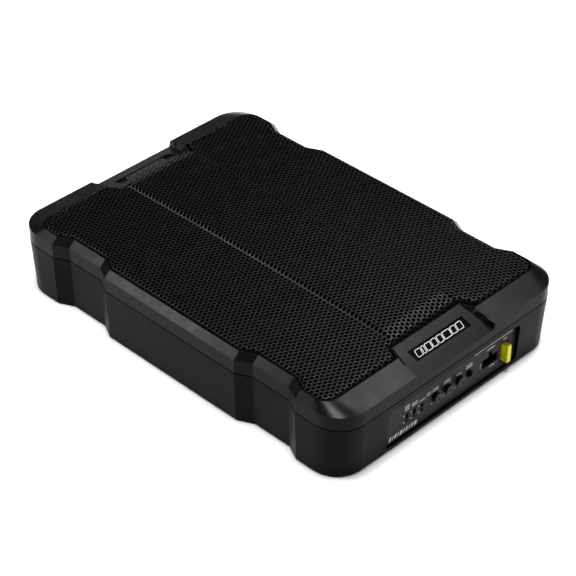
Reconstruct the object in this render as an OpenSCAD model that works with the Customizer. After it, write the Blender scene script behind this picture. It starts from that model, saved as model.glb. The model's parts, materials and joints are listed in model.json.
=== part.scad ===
// Powered under-seat car subwoofer: cast lower housing with the amplifier, moulded bezel,
// perforated steel grille and a shallow woofer that fires upwards.
// +Z is up, the controls face -Y, the origin is the middle of the underside. Millimetres.

/* [Case] */
// Width of the case, across the short side
case_w = 300; // [294:1:312]
// Length of the case, from the control side to the rear
case_l = 433; // [428:1:450]
// Height of the lower housing's rim
housing_h = 55; // [54:0.5:58]
// Height of the bezel's vertical skirt, measured up from its lower edge
skirt_h = 14.5; // [13:0.5:16]
// Rise of the bezel's chamfer above the skirt
chamfer_rise = 6.3; // [5:0.1:8]
// Width of the chamfer along the long sides
chamfer_side = 6.8; // [6:0.1:8]
// Width of the chamfer along the two ends
chamfer_end = 23.5; // [22:0.5:26]
// Radius of the case's upright corners
corner_r = 31; // [26:1:36]
// Radius of the grille opening's corners
opening_r = 15; // [10:1:20]
// Wall and floor thickness of the lower housing
wall = 3; // [2.5:0.1:3.5]

/* [Side notches] */
// How far each notch steps into the long side
notch_d = 8; // [5:0.5:9]
// Length of each sloping end of a notch
notch_slant = 16; // [12:1:20]
// Distance from the middle to the nearer end of a notch
notch_inner = 86; // [80:1:92]
// Distance from the middle to the farther end of a notch
notch_outer = 162; // [156:1:166]

/* [Grille] */
// Height of the crowned sheet at its middle, below the raised strip
grille_crown_z = 84.2; // [83:0.1:85]
// Height of the raised centre strip above the sheet
strip_rise = 4.2; // [3:0.1:6]
// Half width of the centre strip at the foot of its bevels
strip_half_w = 44; // [40:1:48]
// Thickness of the grille's steel sheet
grille_t = 1.2; // [1:0.1:1.6]

/* [Woofer] */
// Distance of the woofer's axis behind the middle of the case
woofer_y = 56; // [54:1:57]
// Radius of the woofer's mounting flange
flange_r = 131; // [129:0.5:131]

/* [Controls] */
// Height of the knob shafts above the underside
knob_z = 24.8; // [23:0.1:26]
// Diameter of each control knob
knob_d = 9.6; // [8:0.2:10.4]
// Distance from one knob to the next
knob_pitch = 16; // [15:0.2:16.4]
// Distance from one slide switch to the next
switch_pitch = 10; // [9.5:0.1:10.4]

/* [Hidden] */

$fn = 64;
corner_steps = 16;
eps = 0.05;
thread_gap = 0.05;

// Heights of the case
seam_gap = 1.2;
bezel_z = housing_h + seam_gap;
chamfer_z = bezel_z + skirt_h;
lip_z = chamfer_z + chamfer_rise;
draft_side = 1.2;
draft_end = 3.6;
bottom_round = 2;
rim_w = 8;
rim_h = 5;
half_w = case_w / 2;
half_l = case_l / 2;

// Bezel section and the badge recess in each end
bezel_wall = 2.4;
lip_w = 1.2;
ledge_w = 5;
ledge_z = 70.5;
ledge_t = 2;
boss_top_z = 73;
badge_in = 13.5;
badge_half_in = 45;
badge_half_out = 51.5;
badge_floor_in_z = lip_z - 0.4;
badge_floor_out_z = chamfer_z - 6;
badge_flare = 0.6;
badge_shoulder = 0.45;
badge_rim = 1.5;
badge_cut_h = 14;
badge_run = chamfer_end + badge_in - 1;
badge_tilt = atan((badge_floor_in_z - badge_floor_out_z) / badge_run);
emblem_w = 73;
emblem_h = 12.9;
emblem_t = 1.2;
emblem_depth = 2;
emblem_from_front = 21.9;
badge_skin = 3.6;

// Grille sheet
grille_gap = 2.2;
grille_kx = 0.000357;
grille_ky = 0.000168;
strip_end_in = 162;
strip_end_out = 181;
grille_foot_z = ledge_z + ledge_t;
tab_w = 10;
tab_side_y = [-78, -36, 8, 52];
tab_end_x = [-95, 95];

// Baffle and the screws that clamp the stack
baffle_t = 4;
baffle_top = bezel_z + baffle_t;
baffle_inset = 3;
screw_r = 2;
case_screw_points = [
    [112, -200], [-112, -200], [137, -64], [-137, -64],
    [137, 72], [-137, 72], [100, 202], [-100, 202]
];
bracket_x = 110;
bracket_y = 172;
bracket_r = 2.5;
bracket_depth = 9;

// Control panel in its recess
panel_face_y = -210.5;
panel_t = 2;
panel_back_y = panel_face_y + panel_t;
panel_left = -88.5;
panel_right = 92;
panel_bottom = 5;
panel_top = 48.5;
panel_r = 6;
frame_y = -206;
switch_x = -57.4;
switch_z = 22.8;
switch_slot = [3.8, 9.6];
switch_travel = 3;
knob_x = -19.6;
knob_h = 4;
knob_turns = [-30, -75, -50];
jack_x = 26.8;
jack_z = 24.3;
jack_r = 1.8;
header_x = 56.8;
header_z = 22.6;
header_mouth = [22, 10];
header_key = [4.6, 5.5];
header_depth = 14;
fuse_x = 77.2;
fuse_z = 21.4;
fuse_size = [5.1, 12.3, 19.1];
fuse_front_y = -216.5;
fuse_mouth = [11.4, 22];
fuse_rest = 0.6;

// Circuit board
board_top = 13;
board_t = 1.6;
board_half_x = 104;
board_front_y = -204.5;
board_rear_y = -90;
fuse_notch = [11, 1.5];
board_post_x = 96;
board_post_front_y = -176;
board_post_rear_y = -98;
transistor_x = [-75, -45, -15, 15, 45, 75];
clamp_screw_x = [-60, 0, 60];
spreader_y = -84;

// Woofer
seal_t = 1;
flange_z = baffle_top + seal_t;
flange_t = 2;
bolt_r = 125.5;
baffle_hole_r = 118;
landing_z = 42.5;
pole_r = 25;
former_in = 25.4;
former_out = 25.65;
coil_out = 26.7;
gap_r = 27.1;
plate_z = [5, 11, 25, 31];
rim_z = 64;
cone_out = 102;
cap_r = 34;

// ---------- outlines and lofts ----------

function arc(cx, cy, r, start) =
    [for (i = [0:corner_steps]) let (a = start + 90 * i / corner_steps) [cx + r * cos(a), cy + r * sin(a)]];

// One long side from the front to the rear, at x = hx
function long_side(hx, inner, outer) = [
    [hx, -outer], [hx - notch_d, -outer + notch_slant],
    [hx - notch_d, -inner - notch_slant], [hx, -inner],
    [hx, inner], [hx - notch_d, inner + notch_slant],
    [hx - notch_d, outer - notch_slant], [hx, outer]
];

// Closed outline of the case: half sizes, corner radius, and how far each end steps in at the badge
function outline(hx, hy, r, inset = 0, step = 0, step_in = badge_half_in, step_out = badge_half_out) =
    let (k = tan(atan(notch_d / notch_slant) / 2) * inset)
    let (x = hx - inset, y = hy - inset, q = max(r - inset, 1))
    let (side = long_side(x, notch_inner - k, notch_outer + k))
    concat(
        arc(x - q, -y + q, q, -90),
        side,
        arc(x - q, y - q, q, 0),
        [[step_out, y], [step_in, y - step], [-step_in, y - step], [-step_out, y]],
        arc(-x + q, y - q, q, 90),
        [for (i = [len(side) - 1:-1:0]) [-side[i].x, side[i].y]],
        arc(-x + q, -y + q, q, 180),
        [[-step_out, -y], [-step_in, -y + step], [step_in, -y + step], [step_out, -y]]
    );

function wall_outline(z, inset = 0) =
    let (t = 1 - min(z, housing_h) / housing_h)
    outline(half_w - draft_side * t, half_l - draft_end * t, corner_r, inset);

function lip_outline(inset = 0) =
    outline(half_w - chamfer_side, half_l - chamfer_end, opening_r, inset, badge_in, badge_half_in + inset,
        badge_half_out + inset);

function lift(points, z) = [for (p = points) [p.x, p.y, z]];

function middle(ring) = [for (p = ring) 1] * ring / len(ring);

// Solid through a list of rings, lowest first, each with the same number of points
module loft(rings) {
    n = len(rings[0]);
    m = len(rings);
    top = (m - 1) * n;
    sides = [for (j = [0:m - 2]) for (i = [0:n - 1])
        let (a = j * n + i, b = j * n + (i + 1) % n)
        each [[a, a + n, b], [b, a + n, b + n]]];
    polyhedron(
        points = concat([for (r = rings) each r], [middle(rings[0]), middle(rings[m - 1])]),
        faces = concat(
            sides,
            [for (i = [0:n - 1]) [i, (i + 1) % n, m * n]],
            [for (i = [0:n - 1]) [top + (i + 1) % n, top + i, m * n + 1]]
        )
    );
}

module both_sides() {
    children();
    mirror([1, 0, 0]) children();
}

module both_ends() {
    children();
    mirror([0, 1, 0]) children();
}

// Pan-head screw with a hexagon socket, head downwards at z = 0, shank up the +Z axis
module screw(head_r, head_h, shank_r, length) {
    difference() {
        cylinder(r = head_r, h = head_h);
        translate([0, 0, -eps]) cylinder(r = head_r * 0.5, h = head_h * 0.6, $fn = 6);
    }
    translate([0, 0, head_h]) cylinder(r = shank_r, h = length);
}

// ---------- case ----------

module panel_shape(grow = 0) {
    x0 = panel_left - grow;
    x1 = panel_right + grow;
    z0 = panel_bottom - grow;
    z1 = panel_top + grow;
    r = panel_r + grow;
    polygon(concat(
        [for (a = [-90:15:0]) [x1 - r + r * cos(a), z0 + r + r * sin(a)]],
        [for (a = [0:15:90]) [x1 - r + r * cos(a), z1 - r + r * sin(a)]],
        [for (a = [90:15:180]) [x0 + r + r * cos(a), z1 - r + r * sin(a)]],
        [for (a = [180:15:270]) [x0 + r + r * cos(a), z0 + r + r * sin(a)]]
    ));
}

// Extrudes an X-Z shape from y0 to y1
module wall_slab(y0, y1) {
    translate([0, y1, 0]) rotate([90, 0, 0]) linear_extrude(y1 - y0) children();
}

module housing_shell() {
    difference() {
        loft([
            lift(wall_outline(0, bottom_round), 0),
            lift(wall_outline(0.6, 0.3 * bottom_round), 0.6),
            lift(wall_outline(bottom_round, 0), bottom_round),
            lift(wall_outline(housing_h, 0), housing_h)
        ]);
        loft([
            lift(wall_outline(wall, wall), wall),
            lift(wall_outline(housing_h - 2 * rim_h, wall), housing_h - 2 * rim_h),
            lift(wall_outline(housing_h - rim_h, rim_w), housing_h - rim_h),
            lift(wall_outline(housing_h, rim_w), housing_h + 1)
        ]);
    }
}

module lower_housing() {
    color("#26272a") difference() {
        union() {
            housing_shell();
            intersection() {
                loft([lift(wall_outline(0, bottom_round), 1), lift(wall_outline(housing_h, 1), housing_h)]);
                union() {
                    wall_slab(-half_l, frame_y) panel_shape(2.5);
                    for (p = case_screw_points) translate([p.x, p.y, 1]) cylinder(r = 5, h = housing_h - 1);
                }
            }
            both_sides() both_ends() translate([bracket_x, bracket_y, 1]) cylinder(r = 6, h = bracket_depth + 2);
            both_sides() for (y = [board_post_front_y, board_post_rear_y])
                translate([board_post_x, y, 1]) cylinder(r = 4, h = board_top - board_t - 1);
        }
        wall_slab(-half_l - 1, panel_back_y) panel_shape();
        wall_slab(-half_l - 1, frame_y + 1) panel_shape(-3.5);
        for (p = case_screw_points) translate([p.x, p.y, -1]) {
            cylinder(r = screw_r + 0.2, h = housing_h + 2);
            cylinder(r = 4.5, h = 5);
        }
        both_sides() both_ends() translate([bracket_x, bracket_y, -1]) cylinder(r = bracket_r, h = bracket_depth + 1);
        both_sides() for (y = [board_post_front_y, board_post_rear_y])
            translate([board_post_x, y, wall + 1]) cylinder(r = 1.5, h = board_top);
    }
}

module housing_seal() {
    color("#101010") translate([0, 0, housing_h]) linear_extrude(seam_gap) difference() {
        polygon(outline(half_w, half_l, corner_r, baffle_inset + 0.5));
        polygon(outline(half_w, half_l, corner_r, rim_w - 0.5));
        for (p = case_screw_points) translate(p) circle(r = screw_r + 0.4);
    }
}

module baffle() {
    color("#2b2b2d") difference() {
        union() {
            translate([0, 0, bezel_z]) linear_extrude(baffle_t)
                polygon(outline(half_w, half_l, corner_r, baffle_inset));
            woofer_ring(bolt_r) translate([0, 0, bezel_z - 7]) cylinder(r = 4.6, h = 8);
        }
        translate([0, woofer_y, bezel_z - 10]) cylinder(r = baffle_hole_r, h = 20, $fn = 128);
        woofer_ring(bolt_r) translate([0, 0, bezel_z - 8]) cylinder(r = screw_r, h = 20);
        for (p = case_screw_points) translate([p.x, p.y, bezel_z - 1]) cylinder(r = screw_r + 0.2, h = 10);
    }
}

module case_screws() {
    color("#3a3a3c") for (p = case_screw_points) translate([p.x, p.y, 1.2]) screw(3.9, 2.8, screw_r - thread_gap, 63);
}

// Badge recess at v millimetres in from the end wall: its floor's height and half width, the height
// of the bezel beside it, and the half width at the top of its side walls
function badge_floor_z(v) = badge_floor_out_z + (badge_floor_in_z - badge_floor_out_z) * v / badge_run;
function badge_floor_x(v) = badge_half_out + (badge_half_in - badge_half_out) * v / badge_run;
function bezel_top_z(v) = min(lip_z, chamfer_z + chamfer_rise * v / chamfer_end);
function badge_top_x(v) = badge_shoulder + (v < chamfer_end
    ? badge_half_out + badge_flare * (1 - v / chamfer_end)
    : badge_half_out - (badge_half_out - badge_half_in) * (v - chamfer_end) / badge_in);
function badge_slope(v) = (badge_top_x(v) - badge_floor_x(v)) / (bezel_top_z(v) - badge_floor_z(v));

// Space above the badge's sloping floor at the -Y end; grow widens it and drop lowers the floor
module badge_wedge(grow, drop) {
    stations = [-1, chamfer_end / 2, chamfer_end, badge_run];
    n = len(stations);
    function edge(v, h) = badge_floor_x(v) + grow + badge_slope(max(v, 0)) * h;
    function right_side(h) = [for (i = [0:n - 1]) let (v = stations[i])
        [edge(v, h), -half_l + v + (i == n - 1 ? grow : 0), badge_floor_z(v) - drop + h]];
    function ring(h) = let (r = right_side(h)) concat(r, [for (i = [n - 1:-1:0]) [-r[i].x, r[i].y, r[i].z]]);
    loft([ring(0), ring(badge_cut_h)]);
}

module emblem_block(w, h, t, sink) {
    translate([0, -half_l, badge_floor_out_z]) rotate([badge_tilt, 0, 0])
        translate([-w / 2, emblem_from_front - h / 2, -sink]) cube([w, h, t]);
}

module bezel_outside() {
    loft([
        lift(outline(half_w, half_l, corner_r), bezel_z),
        lift(outline(half_w, half_l, corner_r), chamfer_z),
        lift(lip_outline(), lip_z)
    ]);
}

module bezel_inside() {
    loft([
        lift(outline(half_w, half_l, corner_r, bezel_wall), bezel_z - 1),
        lift(outline(half_w, half_l, corner_r, bezel_wall), chamfer_z - 2),
        lift(lip_outline(lip_w), lip_z - 3),
        lift(lip_outline(lip_w), lip_z + 1)
    ]);
}

module top_bezel() {
    color("#222225") difference() {
        union() {
            difference() {
                bezel_outside();
                bezel_inside();
            }
            intersection() {
                bezel_outside();
                union() {
                    both_ends() badge_wedge(badge_rim, badge_skin);
                    translate([0, 0, ledge_z]) linear_extrude(ledge_t) difference() {
                        polygon(outline(half_w, half_l, corner_r, 1));
                        polygon(lip_outline(lip_w + ledge_w));
                    }
                    for (p = case_screw_points) translate([p.x, p.y, baffle_top])
                        cylinder(r = 4.4, h = boss_top_z - baffle_top);
                }
            }
        }
        translate([0, 0, grille_foot_z]) linear_extrude(20) polygon(lip_outline(lip_w));
        both_ends() badge_wedge(0, 0);
        both_ends() emblem_block(emblem_w, emblem_h, 10, emblem_depth);
        for (p = case_screw_points) translate([p.x, p.y, baffle_top - 1]) cylinder(r = screw_r, h = 8);
        grille_tabs(0.4);
    }
}

module front_emblem() {
    color("#0d0d0f") emblem_block(emblem_w - 2, emblem_h - 2, emblem_t, emblem_depth);
}

module rear_emblem() {
    color("#161618") mirror([0, 1, 0]) emblem_block(emblem_w - 0.4, emblem_h - 0.4, emblem_t, emblem_depth);
}

// ---------- grille ----------

function strip_at(x, y) = min(
    strip_rise,
    max(0, strip_half_w - abs(x)),
    max(0, (strip_end_out - abs(y)) * strip_rise / (strip_end_out - strip_end_in))
);

function grille_top(x, y) = grille_crown_z - grille_kx * x * x / 2 - grille_ky * y * y / 2 + strip_at(x, y);

// Grid of the crowned sheet: finest where the strip's bevels fold it
grille_half_xs = [14, strip_half_w - strip_rise, strip_half_w, 72, 100, 126, 160];
grille_xs = concat([for (i = [len(grille_half_xs) - 1:-1:0]) -grille_half_xs[i]], grille_half_xs);
grille_ys = concat(
    [-220, -200, -strip_end_out, -strip_end_in], [for (y = [-135:27:135]) y],
    [strip_end_in, strip_end_out, 200, 220]
);

// Solid below the crowned sheet's upper face, lowered by drop
module under_sheet(drop, foot) {
    nx = len(grille_xs);
    ny = len(grille_ys);
    tops = [for (y = grille_ys) for (x = grille_xs) [x, y, grille_top(x, y) - drop]];
    feet = [for (y = grille_ys) for (x = grille_xs) [x, y, foot]];
    n = nx * ny;
    cells = [for (j = [0:ny - 2]) for (i = [0:nx - 2]) j * nx + i];
    edge = concat(
        [for (i = [0:nx - 1]) i], [for (j = [1:ny - 1]) j * nx + nx - 1],
        [for (i = [nx - 2:-1:0]) (ny - 1) * nx + i], [for (j = [ny - 2:-1:1]) j * nx]
    );
    m = len(edge);
    polyhedron(
        points = concat(tops, feet),
        faces = concat(
            [for (a = cells) each [[a, a + nx, a + 1], [a + 1, a + nx, a + nx + 1]]],
            [for (a = cells) each [[a + n, a + 1 + n, a + nx + n], [a + 1 + n, a + nx + 1 + n, a + nx + n]]],
            [for (i = [0:m - 1]) let (a = edge[i], b = edge[(i + 1) % m]) each [[a, b, a + n], [b, b + n, a + n]]]
        )
    );
}

module tab_shape(slack) {
    w = tab_w + 2 * slack;
    translate([-w / 2, -grille_t - slack, ledge_z - 1.2])
        cube([w, grille_t + 2 * slack, grille_foot_z - ledge_z + 1.6]);
}

// Tongues of the grille that pass through the bezel's ledge
module grille_tabs(slack) {
    both_sides() for (y = tab_side_y)
        translate([half_w - chamfer_side - grille_gap, y, 0]) rotate([0, 0, -90]) tab_shape(slack);
    both_ends() for (x = tab_end_x)
        translate([x, half_l - chamfer_end - grille_gap, 0]) tab_shape(slack);
}

// Bent ends of the tongues, under the ledge
module tab_hooks() {
    both_sides() for (y = tab_side_y)
        translate([half_w - chamfer_side - grille_gap - 6, y - tab_w / 2, ledge_z - 1.2]) cube([6, tab_w, 1.1]);
    both_ends() for (x = tab_end_x)
        translate([x - tab_w / 2, half_l - chamfer_end - grille_gap - 6, ledge_z - 1.2]) cube([tab_w, 6, 1.1]);
}

module grille() {
    color("#1c1c1e") {
        difference() {
            intersection() {
                translate([0, 0, grille_foot_z]) linear_extrude(30) polygon(lip_outline(grille_gap));
                under_sheet(0, grille_foot_z - 5);
            }
            intersection() {
                translate([0, 0, grille_foot_z - 1]) linear_extrude(30)
                    polygon(lip_outline(grille_gap + grille_t));
                under_sheet(grille_t, grille_foot_z - 6);
            }
        }
        grille_tabs(0);
        tab_hooks();
    }
}

// ---------- control panel ----------

function switch_at(i) = switch_x + i * switch_pitch;
function knob_at(i) = knob_x + i * knob_pitch;

module header_shape(grow = 0) {
    w = header_mouth.x + 2 * grow;
    h = header_mouth.y + 2 * grow;
    translate([header_x - w / 2, header_z - h / 2]) square([w, h]);
    translate([header_x - header_key.x / 2 - grow, header_z])
        square([header_key.x + 2 * grow, header_mouth.y / 2 + header_key.y + grow]);
}

module control_panel() {
    color("#2a292c") difference() {
        wall_slab(panel_face_y, panel_back_y) difference() {
            panel_shape(-0.15);
            for (i = [0:2]) translate([switch_at(i), switch_z]) square(switch_slot, center = true);
            header_shape();
            translate([fuse_x, fuse_z]) square(fuse_mouth, center = true);
        }
        for (i = [0:2]) translate([knob_at(i), -half_l, knob_z]) rotate([-90, 0, 0]) cylinder(r = 3.5, h = 20);
        translate([jack_x, -half_l, jack_z]) rotate([-90, 0, 0]) cylinder(r = 3.6, h = 20);
    }
}

module switch_body(i) {
    color("#0e0e0e") translate([switch_at(i), panel_back_y, switch_z]) difference() {
        translate([-3.8, 0.05, board_top - switch_z]) cube([7.6, 6.4, switch_z - board_top + 7]);
        translate([-1.6, -1, -4.2]) cube([3.2, 5, 8.4]);
    }
}

// lift: where the nub rests, measured from the middle of the slot
module switch_slider(i, lift) {
    color("#8a8a8c") translate([switch_at(i), 0, switch_z + lift]) {
        translate([-1.3, panel_face_y - 0.6, -1.3]) cube([2.6, 4.4, 2.6]);
        translate([-1.3, panel_back_y + 1.6, -2.3]) cube([2.6, 2, 4.6]);
    }
}

module phase_switch_body() { switch_body(0); }
module input_switch_body() { switch_body(1); }
module turn_on_switch_body() { switch_body(2); }
module phase_switch_slider() { switch_slider(0, -switch_travel / 2); }
module input_switch_slider() { switch_slider(1, -switch_travel / 2); }
module turn_on_switch_slider() { switch_slider(2, 0); }

module potentiometer(i) {
    color("#3c5a46") translate([knob_at(i), panel_back_y, knob_z]) difference() {
        translate([-5, 0.4, board_top - knob_z]) cube([10, 7.6, knob_z - board_top + 5]);
        translate([0, -1, 0]) rotate([-90, 0, 0]) cylinder(r = 2.05, h = 7);
    }
}

// Knob and its shaft in one moulding, with a screwdriver slot across the face
module knob(i) {
    color("#151515") translate([knob_at(i), 0, knob_z]) rotate([-90, knob_turns[i], 0]) difference() {
        union() {
            translate([0, 0, panel_face_y - 0.3 - knob_h]) cylinder(d = knob_d, h = knob_h);
            translate([0, 0, panel_face_y - 0.4]) cylinder(r = 3, h = panel_t + 0.5);
            translate([0, 0, panel_face_y]) cylinder(r = 2, h = panel_t + 5);
        }
        translate([-0.6, -knob_d / 2 + 1.2, panel_face_y - knob_h - 1]) cube([1.2, knob_d - 2.4, 1.8]);
    }
}

module gain_potentiometer() { potentiometer(0); }
module crossover_potentiometer() { potentiometer(1); }
module bass_boost_potentiometer() { potentiometer(2); }
module gain_knob() { knob(0); }
module crossover_knob() { knob(1); }
module bass_boost_knob() { knob(2); }

module remote_jack() {
    color("#111111") translate([jack_x, panel_back_y, jack_z]) difference() {
        union() {
            translate([-4.2, 0.05, board_top - jack_z]) cube([8.4, 12, jack_z - board_top + 5]);
            translate([0, 1, 0]) rotate([90, 0, 0]) cylinder(r = 3.5, h = panel_t + 2.6);
        }
        translate([0, -panel_t - 2, 0]) rotate([-90, 0, 0]) cylinder(r = jack_r, h = 14);
    }
}

module harness_header() {
    color("#0c0c0c") difference() {
        translate([header_x - 13, panel_back_y + 0.05, board_top])
            cube([26, header_depth + 3, header_z + header_mouth.y / 2 + header_key.y + 1.4 - board_top]);
        wall_slab(panel_back_y - 1, panel_back_y + header_depth) header_shape();
        for (i = [0:7]) for (z = [-2.4, 2.4]) translate([header_x + (i - 3.5) * 2.6 - 0.4, -200, header_z + z - 0.4])
            cube([0.8, 20, 0.8]);
    }
}

// Two rows of right-angle pins; the upper row's legs stand behind the lower row's
module harness_pins() {
    color("#c8b06a") for (i = [0:7]) for (row = [0, 1])
        translate([header_x + (i - 3.5) * 2.6 - 0.35, panel_back_y + 7.5, header_z + row * 4.8 - 2.75]) {
            run = 11.5 + row * 2.6;
            cube([0.7, run, 0.7]);
            leg = header_z + row * 4.8 - 2.75 - board_top;
            translate([0, run - 0.7, -leg]) cube([0.7, 0.7, leg + 0.3]);
        }
}

module fuse_socket() {
    color("#0c0c0c") translate([fuse_x, fuse_front_y + fuse_size.y + eps - fuse_rest, fuse_z]) difference() {
        translate([-6.4, 0, board_top - fuse_z]) cube([12.8, 15, fuse_z - board_top + 11.8]);
        translate([-fuse_size.x / 2 - 0.3, -1, -fuse_size.z / 2 - 0.3])
            cube([fuse_size.x + 0.6, 1 + fuse_rest, fuse_size.z + 0.6]);
        for (s = [-1, 1]) translate([-1.6, -1, s * 4.8 - 2.9]) cube([3.2, 14, 5.8]);
    }
}

// Two pairs of leaf contacts; each pair grips one blade
module fuse_clips() {
    color("#b9a05a") for (s = [-1, 1]) for (side = [-1, 1])
        translate([fuse_x + side * 0.95 - 0.5, fuse_front_y + fuse_size.y + 0.6, fuse_z + s * 4.8 - 2.6])
            cube([1, 10, 5.2]);
}

module fuse_body() {
    color("#f2d90c") translate([fuse_x, fuse_front_y, fuse_z]) difference() {
        translate([-fuse_size.x / 2, 0, -fuse_size.z / 2]) cube(fuse_size);
        for (s = [-1, 1]) translate([s * fuse_size.x / 2 - 0.6, 2, -5.6]) cube([1.2, fuse_size.y - 4, 11.2]);
        for (s = [-1, 1]) translate([-0.4, fuse_size.y - 5, s * 4.8 - 2.7]) cube([0.8, 6, 5.4]);
    }
}

module fuse_blades() {
    color("#c9c9c4") translate([fuse_x, fuse_front_y + fuse_size.y, fuse_z]) for (s = [-1, 1])
        translate([-0.325, -4.9, s * 4.8 - 2.6]) cube([0.65, 12.5, 5.2]);
}

// ---------- amplifier ----------

module circuit_board() {
    color("#1f5a35") translate([0, 0, board_top - board_t]) difference() {
        translate([-board_half_x, board_front_y, 0]) cube([2 * board_half_x, board_rear_y - board_front_y, board_t]);
        both_sides() for (y = [board_post_front_y, board_post_rear_y])
            translate([board_post_x, y, -1]) cylinder(r = 1.7, h = 4);
        translate([fuse_x - fuse_notch.x / 2, board_front_y - 1, -1]) cube([fuse_notch.x, fuse_notch.y + 1, 4]);
    }
}

module board_screws() {
    color("#b8b8b8") both_sides() for (y = [board_post_front_y, board_post_rear_y])
        translate([board_post_x, y, board_top + 2]) mirror([0, 0, 1]) screw(2.9, 2, 1.5 - thread_gap, 8);
}

module filter_capacitors() {
    color("#1d2a4a") for (x = [-88, -66]) translate([x, -128, board_top]) {
        cylinder(r = 9, h = 31);
        translate([0, 0, 31]) cylinder(r = 7.6, h = 0.5);
    }
}

toroid_at = [-20, -128, board_top + 2];

module toroid_core() {
    color("#4a4a4d") translate(toroid_at) difference() {
        cylinder(r = 23, h = 14);
        translate([0, 0, -1]) cylinder(r = 13, h = 16);
    }
}

module toroid_winding() {
    color("#b5651d") translate(toroid_at) for (i = [0:17]) rotate([0, 0, i * 20]) difference() {
        translate([11.6, -0.8, -1.4]) cube([13, 1.6, 16.8]);
        translate([12.9, -1, -0.05]) cube([10.2, 2, 14.1]);
    }
}

module output_inductors() {
    color("#3a3a3a") for (x = [32, 58]) translate([x - 9, -137, board_top]) difference() {
        cube([18, 18, 15]);
        translate([9, 9, 15]) difference() {
            translate([0, 0, -1.2]) cylinder(r = 7.4, h = 3);
            translate([0, 0, -2]) cylinder(r = 5.6, h = 5);
        }
    }
}

module signal_chips() {
    color("#141414") for (p = [[-40, -172], [-12, -172], [16, -168], [84, -140]])
        translate([p.x - 5, p.y - 2, board_top]) cube([10, 4, 1.6]);
}

module power_transistors() {
    color("#1a1a1a") for (x = transistor_x) {
        translate([x - 5, spreader_y - 4.6, 16]) cube([10, 4.5, 15]);
        for (d = [-2.5, 0, 2.5]) translate([x + d - 0.4, spreader_y - 9.5, board_top]) {
            cube([0.8, 7.1, 0.6]);
            translate([0, 6.5, 0]) cube([0.8, 0.6, 16.5 - board_top]);
        }
    }
}

module heat_spreader() {
    color("#9a9c9f") difference() {
        union() {
            translate([-92, spreader_y, wall]) cube([184, 6, 30]);
            translate([-92, spreader_y, wall]) cube([184, 20, 4]);
        }
        for (x = clamp_screw_x) translate([x, spreader_y - 1, 23.5]) rotate([-90, 0, 0]) cylinder(r = 1.5, h = 10);
    }
}

module clamp_bar() {
    color("#8c8c90") difference() {
        translate([-86, spreader_y - 6.6, 20]) cube([172, 2, 7]);
        for (x = clamp_screw_x) translate([x, spreader_y - 8, 23.5]) rotate([-90, 0, 0]) cylinder(r = 1.7, h = 10);
    }
}

module clamp_screws() {
    color("#b8b8b8") for (x = clamp_screw_x) translate([x, spreader_y - 8.6, 23.5]) rotate([-90, 0, 0])
        screw(2.9, 2, 1.5 - thread_gap, 11);
}

// ---------- woofer ----------

// Copies of a child around the woofer's axis, r away from it
module woofer_ring(r, count = 8, start = 22.5) {
    for (i = [0:count - 1])
        translate([r * cos(start + i * 360 / count), woofer_y + r * sin(start + i * 360 / count), 0]) children();
}

module turned(points) {
    translate([0, woofer_y, 0]) rotate_extrude($fn = 128) polygon(points);
}

module ring_solid(r_in, r_out, z0, z1) {
    translate([0, woofer_y, z0]) difference() {
        cylinder(r = r_out, h = z1 - z0, $fn = 128);
        translate([0, 0, -1]) cylinder(r = r_in, h = z1 - z0 + 2, $fn = 128);
    }
}

module woofer_basket() {
    color("#2f3033") difference() {
        turned([
            [flange_r, flange_z], [flange_r, flange_z + flange_t], [113.5, flange_z + flange_t],
            [90, landing_z], [70.5, landing_z], [70.5, plate_z[3] + 2], [40, plate_z[3] + 2],
            [40, plate_z[3]], [72.5, plate_z[3]], [72.5, landing_z - 2], [92, landing_z - 2], [116, flange_z]
        ]);
        translate([0, woofer_y, 0]) for (i = [0:5]) rotate([0, 0, 30 + 60 * i])
            translate([94, -30, 38]) cube([14, 60, 22]);
        woofer_ring(bolt_r) translate([0, 0, flange_z - 1]) cylinder(r = 2.3, h = 6);
    }
}

module woofer_seal() {
    color("#151515") difference() {
        ring_solid(baffle_hole_r + 0.5, flange_r - 1, baffle_top, flange_z);
        woofer_ring(bolt_r) translate([0, 0, baffle_top - 1]) cylinder(r = 2.6, h = 6);
    }
}

module woofer_screws() {
    color("#4a4a4a") woofer_ring(bolt_r) translate([0, 0, flange_z + flange_t + 2.6]) mirror([0, 0, 1])
        screw(4.2, 2.6, screw_r - thread_gap, 13);
}

module woofer_top_plate() {
    color("#8d8f92") ring_solid(gap_r, 62, plate_z[2], plate_z[3]);
}

module woofer_magnet() {
    color("#3b3b3e") ring_solid(32, 66, plate_z[1], plate_z[2]);
}

module woofer_back_plate() {
    color("#85878a") difference() {
        union() {
            translate([0, woofer_y, plate_z[0]]) cylinder(r = 62, h = plate_z[1] - plate_z[0], $fn = 128);
            translate([0, woofer_y, plate_z[0]]) cylinder(r = pole_r, h = plate_z[3] - plate_z[0], $fn = 128);
        }
        translate([0, woofer_y, 0]) cylinder(r = 8, h = 40);
    }
}

module voice_coil_former() {
    color("#c9a46a") ring_solid(former_in, former_out, 20, 46.6);
}

module voice_coil_winding() {
    color("#b5651d") ring_solid(former_out, coil_out, 21, 35);
}

// Corrugated disc glued to the basket's landing outside and to the coil former inside
module spider() {
    t = 0.6;
    r0 = former_out + 0.1;
    waves = [for (i = [0:44]) let (r = r0 + i) [r, landing_z + (i < 4 || i > 40 ? 0 : 1.2 * sin((i - 4) * 60))]];
    color("#c2a25a") turned(concat(
        waves, [[78, landing_z], [78, landing_z + t]],
        [for (i = [44:-1:0]) [waves[i].x, waves[i].y + t]]
    ));
}

module cone() {
    color("#1b1b1d") turned([
        [former_out + 0.02, 44.2], [96, rim_z - 1.3], [cone_out, rim_z - 1.3], [cone_out, rim_z],
        [95.6, rim_z], [former_out + 0.02, 45.6]
    ]);
}

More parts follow.
